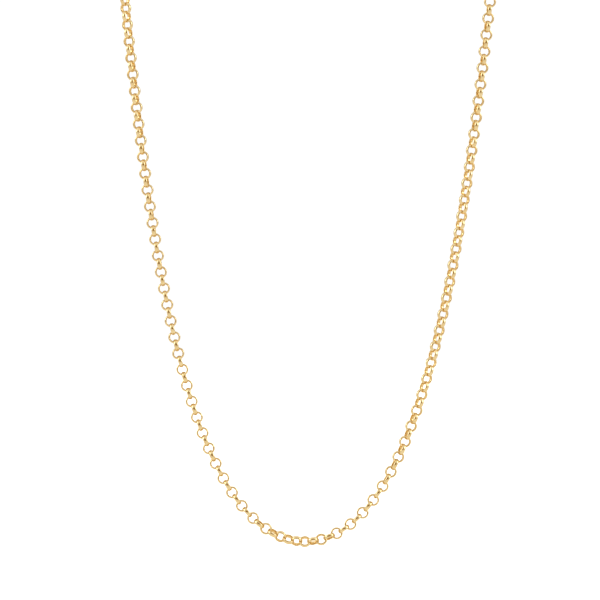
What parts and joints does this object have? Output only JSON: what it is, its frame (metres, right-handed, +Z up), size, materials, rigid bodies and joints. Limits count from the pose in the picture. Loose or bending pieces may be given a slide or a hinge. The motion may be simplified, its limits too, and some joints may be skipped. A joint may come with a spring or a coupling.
{
  "type": "belcher chain necklace",
  "caption": "Fine yellow gold neck chain of round interlocked belcher links that slowly roll along the loop, closed by a plain ring clasp and hung as it is worn.",
  "frame": {"origin": "middle of the chain's line at the back centre of the loop, where the clasp rests on the nape", "axes": "+Z up, -Y to the front where the chain hangs, +X to the wearer's left"},
  "size_m": [0.0875, 0.051, 0.1653],
  "materials": {
    "polished_gold": "polished"
  },
  "bodies": {
    "root": {"chain": "polished_gold", "clasp": "polished_gold"}
  },
  "joints": []
}
